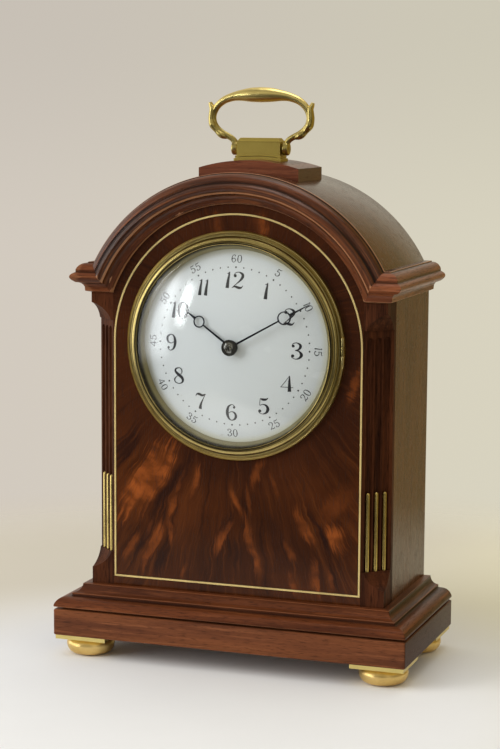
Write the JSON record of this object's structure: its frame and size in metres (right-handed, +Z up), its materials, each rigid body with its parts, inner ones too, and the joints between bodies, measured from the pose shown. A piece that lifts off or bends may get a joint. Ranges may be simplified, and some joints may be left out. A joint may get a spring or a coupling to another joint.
{
  "type": "arched-top mantel clock",
  "caption": "Arched-top mahogany mantel clock with brass stringing, fluted canted corners, a swinging carrying handle, bun feet and a hinged bezel over a convex enamel dial.",
  "frame": {"origin": "on the ground under the middle of the clock's outer box", "axes": "+X to the right of someone facing the dial, +Y to the back, +Z up"},
  "size_m": [0.17, 0.0908, 0.2649],
  "materials": {
    "mahogany": "polished",
    "flame_veneer": "polished",
    "side_veneer": "polished",
    "inner_wood": "matte",
    "bright_brass": "polished",
    "handle_brass": "polished",
    "bezel_brass": "aged",
    "movement_brass": "satin",
    "steel": "satin",
    "blued_steel": "polished",
    "enamel": "gloss",
    "copper": "satin",
    "clear_glass": "clear"
  },
  "bodies": {
    "case": {"bun_feet": "bright_brass", "foot_pads": "bright_brass", "plinth": "mahogany", "base_moulding": "mahogany", "base_screws": "steel", "case_floor": "inner_wood", "front_board": "flame_veneer", "front_stringing": "bright_brass", "side_panel_left": "side_veneer", "side_panel_right": "side_veneer", "corner_post_left": "mahogany", "corner_post_right": "mahogany", "flute_rods": "bright_brass", "arch_sheet": "side_veneer", "arch_moulding": "mahogany", "cornice_left": "mahogany", "cornice_right": "mahogany", "handle_block": "mahogany", "handle_stand": "handle_brass", "stand_bolts": "steel", "handle_pins": "handle_brass", "bezel_ring": "bezel_brass", "hinge_pins": "bezel_brass", "dial": "enamel", "dial_feet": "copper", "front_plate": "movement_brass", "back_plate": "movement_brass", "pillars": "movement_brass", "movement_screws": "steel", "click_spring": "steel", "platform": "movement_brass", "platform_cocks": "movement_brass", "movement_straps": "movement_brass", "strap_screws": "steel", "back_board": "inner_wood", "rear_ring": "bezel_brass"},
    "handle": {"carrying_handle": "handle_brass"},
    "bezel": {"bezel_door": "bezel_brass", "dial_glass": "clear_glass", "sight_ring": "bezel_brass"},
    "rear_door": {"rear_door": "bezel_brass"},
    "centre": {"centre_wheel": "movement_brass", "cannon_pinion": "movement_brass", "minute_hand": "blued_steel", "hand_collet": "blued_steel"},
    "barrel": {"barrel": "movement_brass", "barrel_cap": "movement_brass", "mainspring": "steel"},
    "third": {"third_wheel": "movement_brass"},
    "fourth": {"fourth_wheel": "movement_brass"},
    "escape": {"escape_wheel": "movement_brass"},
    "minute_work": {"minute_wheel": "movement_brass"},
    "hour": {"hour_wheel": "movement_brass", "hour_hand": "blued_steel"},
    "winding": {"winding_arbor": "steel", "ratchet_wheel": "steel"},
    "click": {"click": "steel"},
    "lever": {"pallet_lever": "steel"},
    "balance": {"balance_wheel": "movement_brass", "hairspring": "steel"}
  },
  "joints": [
    {"name": "handle_swing", "type": "hinge", "parent": "case", "child": "handle", "pos_m": [0, 0.00115, 0.2368], "axis": [1, 0, 0], "range_deg": [-85, 85]},
    {"name": "bezel_open", "type": "hinge", "parent": "case", "child": "bezel", "pos_m": [0.05112, -0.03395, 0.1488], "axis": [0, 0, 1], "range_deg": [0, 100]},
    {"name": "rear_door_open", "type": "hinge", "parent": "case", "child": "rear_door", "pos_m": [-0.0442, 0.04205, 0.1488], "axis": [0, 0, 1], "range_deg": [0, 100]},
    {"name": "centre_turn", "type": "hinge", "parent": "case", "child": "centre", "pos_m": [0, 0, 0.1488], "axis": [0, 1, 0], "continuous": true},
    {"name": "barrel_turn", "type": "hinge", "parent": "case", "child": "barrel", "pos_m": [-0.01485, 0, 0.13395], "axis": [0, 1, 0], "continuous": true},
    {"name": "third_turn", "type": "hinge", "parent": "case", "child": "third", "pos_m": [0.01559, 0, 0.1578], "axis": [0, 1, 0], "continuous": true},
    {"name": "fourth_turn", "type": "hinge", "parent": "case", "child": "fourth", "pos_m": [0.00575, 0, 0.16952], "axis": [0, 1, 0], "continuous": true},
    {"name": "escape_turn", "type": "hinge", "parent": "case", "child": "escape", "pos_m": [-0.00507, 0, 0.17346], "axis": [0, 1, 0], "continuous": true},
    {"name": "minute_work_turn", "type": "hinge", "parent": "case", "child": "minute_work", "pos_m": [0.006, 0, 0.13841], "axis": [0, 1, 0], "continuous": true},
    {"name": "hour_turn", "type": "hinge", "parent": "case", "child": "hour", "pos_m": [0, 0, 0.1488], "axis": [0, 1, 0], "continuous": true},
    {"name": "winding_turn", "type": "hinge", "parent": "case", "child": "winding", "pos_m": [-0.01485, 0, 0.13395], "axis": [0, 1, 0], "continuous": true},
    {"name": "click_lift", "type": "hinge", "parent": "case", "child": "click", "pos_m": [-0.01039, 0, 0.14234], "axis": [0, 1, 0], "range_deg": [0, 4], "stiffness_Nm_per_rad": 0.0005},
    {"name": "lever_rock", "type": "hinge", "parent": "case", "child": "lever", "pos_m": [-0.01128, 0, 0.17237], "axis": [0, 1, 0], "range_deg": [-7, 7]},
    {"name": "balance_swing", "type": "hinge", "parent": "case", "child": "balance", "pos_m": [-0.01915, 0, 0.17098], "axis": [0, 1, 0], "range_deg": [-270, 270], "stiffness_Nm_per_rad": 0.0000025}
  ],
  "couplings": [
    {"joint": "barrel_turn", "follows": "centre_turn", "ratio": -0.16667},
    {"joint": "third_turn", "follows": "centre_turn", "ratio": -8},
    {"joint": "fourth_turn", "follows": "centre_turn", "ratio": 60},
    {"joint": "escape_turn", "follows": "centre_turn", "ratio": -480},
    {"joint": "minute_work_turn", "follows": "centre_turn", "ratio": -0.33333},
    {"joint": "hour_turn", "follows": "centre_turn", "ratio": 0.083333}
  ]
}
